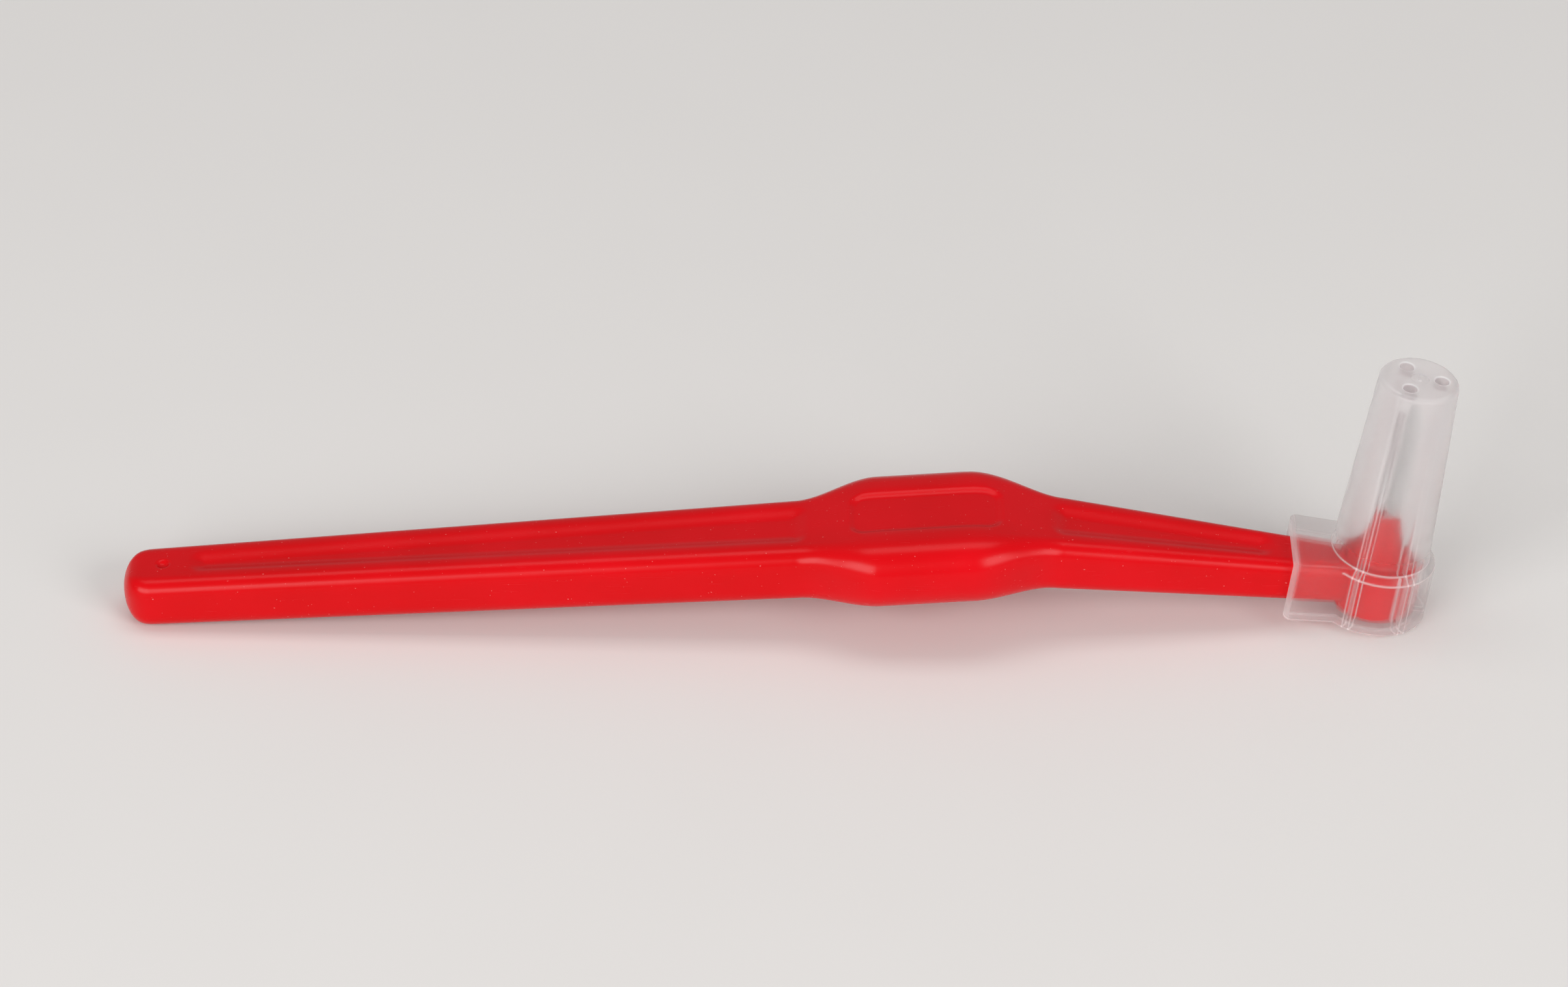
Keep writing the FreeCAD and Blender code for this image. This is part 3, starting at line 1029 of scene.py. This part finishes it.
def gathered_light(finish, flat, vent_distance, x, y, z):
    """How much painted highlight whitens the clear plastic along its rims, corners, ribs and vents.
    """
    radius = finish.span("LENGTH", flat)
    rim = 1 - finish.between(z, rim_round, 2 * rim_round)
    at_shoulder = finish.near(radius, tube_base_radius, shoulder_round)
    shoulder = at_shoulder * finish.near(z, shoulder_top, shoulder_round)
    at_ledge = finish.near(radius, collar_radius, shoulder_round)
    ledge = at_ledge * finish.near(z, collar_height, shoulder_round)
    high = finish.between(z, cap_length - end_round, cap_length - end_round / 2)
    closed_end = high * finish.near(radius, tube_end_radius - end_round / 2, end_round / 2)
    degrees = finish.math("DEGREES", finish.math("ARCTAN2", y, x))
    turn = finish.math("PINGPONG", degrees, rib_step_degrees / 2)
    aside = finish.math("RADIANS", turn) * radius
    outside_vents = finish.between(radius, vent_circle_radius + vent_radius, tube_end_radius)
    away = finish.between(x + radius, rib_round, rib_width)
    fading = 1 - finish.between(z, nose_top, tube_inner_end) * rib_fading
    ribs = finish.near(aside, rib_width / 2, rib_line_width) * outside_vents * away * fading
    vent_edge = finish.near(vent_distance, vent_radius + vent_flare, vent_flare)
    vents = vent_edge * finish.between(z, cap_length - vent_flare, cap_length - vent_flare / 2)
    past_corner = x + channel_reach
    channel_end = 1 - finish.between(past_corner, channel_edge_round, channel_corner)
    aside_edge = finish.math("ABSOLUTE", y) + x * channel_taper
    at_edge = finish.near(aside_edge, channel_half_width(0) + channel_wall, channel_edge_round)
    channel_edge = at_edge * finish.near(z, shoulder_top, channel_edge_round)
    # Each mask adds painted highlight: white along the rim, shoulder, ledge, closed end, rib lines,
    # vent rims and channel edges.
    return (
        rim * rim_highlight
        + (shoulder + ledge) * shoulder_highlight
        + closed_end * closed_end_highlight
        + ribs * rib_highlight
        + vents * vent_highlight
        + channel_end * channel_end_highlight
        + channel_edge * channel_edge_highlight
    )


def frosted_moulding():
    """Misty clear plastic: a blurred clear body, a milky white cloudiness, painted white highlights
    along its edges and painted shadow inside the vents.
    """
    deep_tint = (0.985, 0.95, 0.955, 1)
    light_tint = (1, 0.98, 0.983, 1)
    # Painted shadow colour for the walls inside the vent holes.
    painted_vent_shadow = (0.55, 0.45, 0.47, 1)
    white = (0.96, 0.95, 0.95, 1)
    least_blur = 0.17
    cloud_blur = 0.12
    tube_blur = 0.22
    collar_cover = 0.5
    tube_cover = 0.45
    least_milk = 0.02
    cloud_milk = 0.04
    above_nose_milk = 0.15
    finish = Finish("frosted_moulding")
    x, y, z = finish.head_place()
    tube = finish.between(z, shoulder_top, shoulder_top + nose_height)
    above_nose = finish.between(z, nose_top - nose_height / 2, brush_top)
    cloud = finish.noise(size=4, detail=3)
    frost = finish.noise(size=0.3, detail=4)
    flat = finish.node("ShaderNodeCombineXYZ", None, {"X": x, "Y": y})
    vent_distance = from_vent(finish, flat)
    # Inside the vent holes the base colour is darkened as painted shadow.
    in_vent = 1 - finish.between(vent_distance, vent_radius, vent_radius + vent_flare)
    tint = finish.colours(cloud, deep_tint, light_tint)
    clear = finish.plastic(
        Base_Color=finish.colours(in_vent, tint, painted_vent_shadow),
        Roughness=least_blur + cloud * cloud_blur + tube * tube_blur,
        Normal=finish.bumped(frost, distance=0.01),
        IOR=1.14,
        Transmission_Weight=1.0,
        Coat_Weight=0.4,
        Coat_Roughness=0.12,
        Alpha=collar_cover + tube * tube_cover,
    )
    back_lit = finish.node("ShaderNodeBsdfTranslucent", None, {"Color": white})
    front_lit = finish.node("ShaderNodeBsdfDiffuse", None, {"Color": white})
    # A white shader for the cap's real cloudiness and for the painted edge highlights.
    haze_and_highlight_white = finish.blended(0.5, back_lit, front_lit)
    # Painted highlights along the cap's edges.
    edges = gathered_light(finish, flat, vent_distance, x, y, z)
    body = least_milk + cloud * cloud_milk + above_nose * above_nose_milk
    # The real cloudiness plus the painted edge highlights, held to at most a share.
    haze_and_highlights = finish.math("MINIMUM", body + edges, most_haze_and_highlight)
    return finish.done(finish.blended(haze_and_highlights, clear, haze_and_highlight_white))


def drawn_steel():
    """Bright steel wire with fine lines along its draw and dark spots."""
    dull_steel = (0.42, 0.42, 0.43, 1)
    bright_steel = (0.7, 0.69, 0.68, 1)
    least_blur = 0.22
    cloud_blur = 0.2
    finish = Finish("drawn_steel")
    line = finish.noise(size=0.11, detail=2, stretch=(1, 1, 13))
    cloud = finish.noise(size=0.7)
    shader = finish.plastic(
        Base_Color=finish.colours(line, dull_steel, bright_steel),
        Metallic=1.0,
        Roughness=least_blur + cloud * cloud_blur,
        Normal=finish.bumped(line, distance=0.006),
    )
    return finish.done(shader)


def nylon():
    """Pale nylon, a little clearer in some filaments than in others."""
    grey_nylon = (0.78, 0.78, 0.76, 1)
    white_nylon = (0.95, 0.95, 0.94, 1)
    least_blur = 0.3
    cloud_blur = 0.25
    finish = Finish("nylon")
    cloud = finish.noise(size=0.4)
    shader = finish.plastic(
        Base_Color=finish.colours(cloud, grey_nylon, white_nylon),
        Roughness=least_blur + cloud * cloud_blur,
        Normal=finish.bumped(cloud, distance=0.004),
        IOR=1.53,
        Subsurface_Weight=0.3,
        Subsurface_Radius=(1.0, 1.0, 1.0),
        Subsurface_Scale=0.0001,
    )
    return finish.done(shader)


def pale_table():
    """A plain pale floor with a faint grain."""
    shaded = (0.775, 0.75, 0.73, 1)
    pale = (0.795, 0.77, 0.75, 1)
    finish = Finish("pale_table")
    colour = finish.colours(finish.noise(size=25), shaded, pale)
    return finish.done(finish.plastic(Base_Color=colour, Roughness=0.85))


def dress(made, body, slot, finish, *nodes):
    """Puts a piece into the part's frame, with its finish, body and solids. The slot is not used.
    """
    made.data.transform(head_to_part)
    made.data.shade_smooth()
    made.data.set_sharp_from_angle(angle=math.radians(smooth_degrees))
    made.data.materials.clear()
    made.data.materials.append(finish)
    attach(made, body)
    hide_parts(*nodes)


# Stage, lights and camera, in metres and watts


def make_floor(half, drop):
    """A square floor, just clear of the part's lowest points."""
    corners = [(-half, -half, 0), (half, -half, 0), (half, half, 0), (-half, half, 0)]
    mesh = bpy.data.meshes.new("floor")
    mesh.from_pydata(corners, [], [(0, 1, 2, 3)])
    floor = bpy.data.objects.new("floor", mesh)
    bpy.context.scene.collection.objects.link(floor)
    floor.data.materials.append(pale_table())
    floor.location.z = -drop


def soft_box(name, place, size, power):
    """A rectangular lamp that faces the origin."""
    lamp = bpy.data.lights.new(name, "AREA")
    lamp.shape = "RECTANGLE"
    lamp.size, lamp.size_y = size
    lamp.energy = power
    holder = bpy.data.objects.new(name, lamp)
    holder.location = place
    holder.rotation_mode = "QUATERNION"
    holder.rotation_quaternion = (-Vector(place)).to_track_quat("-Z", "Y")
    bpy.context.scene.collection.objects.link(holder)


def make_lights(world_strength):
    world = bpy.data.worlds.new("studio")
    bpy.context.scene.world = world
    world.use_nodes = True
    world.node_tree.nodes["Background"].inputs["Color"].default_value = (1, 1, 1, 1)
    world.node_tree.nodes["Background"].inputs["Strength"].default_value = world_strength
    soft_box("top_box", place=(0, 0.1, 0.8), size=(0.7, 0.3), power=1.3)
    soft_box("left_box", place=(-0.45, -0.62, 0.38), size=(0.6, 0.4), power=4.4)
    soft_box("right_box", place=(0.5, -0.55, 0.38), size=(0.4, 0.4), power=2.6)


def make_camera(azimuth, elevation, lens, share, clip_ratio):
    """A long lens aimed at the brush's middle, which fills a share of the picture's width."""
    low, high = packed_bounds
    centre = (low + high) / 2
    camera = bpy.data.cameras.new("camera")
    camera.lens = lens
    holder = bpy.data.objects.new("camera", camera)
    bpy.context.scene.collection.objects.link(holder)
    turn, lift = math.radians(azimuth), math.radians(elevation)
    level = math.cos(lift)
    back = Vector((math.sin(turn) * level, -math.cos(turn) * level, math.sin(lift)))
    distance = (high - low).x / share * camera.lens / camera.sensor_width
    holder.location = centre + back * distance
    holder.rotation_mode = "QUATERNION"
    holder.rotation_quaternion = (-back).to_track_quat("-Z", "Y")
    camera.clip_start = distance / clip_ratio
    camera.clip_end = distance * clip_ratio
    bpy.context.scene.camera = holder


dress(make_handle(), "brush", "handle_plastic", red_moulding(), "handle")
dress(make_wire(), "brush", "wire_steel", drawn_steel(), "twisted_wire")
dress(make_cap(), "cap", "cap_plastic", frosted_moulding(), "cap")
chance = random.Random(filament_seed)
nylon_finish = nylon()
for quarter in range(quarter_turns):
    solid = "filaments_%02d" % (quarter + 1)
    dress(make_filaments(quarter, chance), "brush", "filament_nylon", nylon_finish, solid)

make_floor(half=1.5, drop=0.00002)
make_lights(world_strength=0.35)
make_camera(azimuth=0, elevation=35, lens=135, share=0.85, clip_ratio=50)
bpy.context.scene.view_settings.view_transform = "Standard"
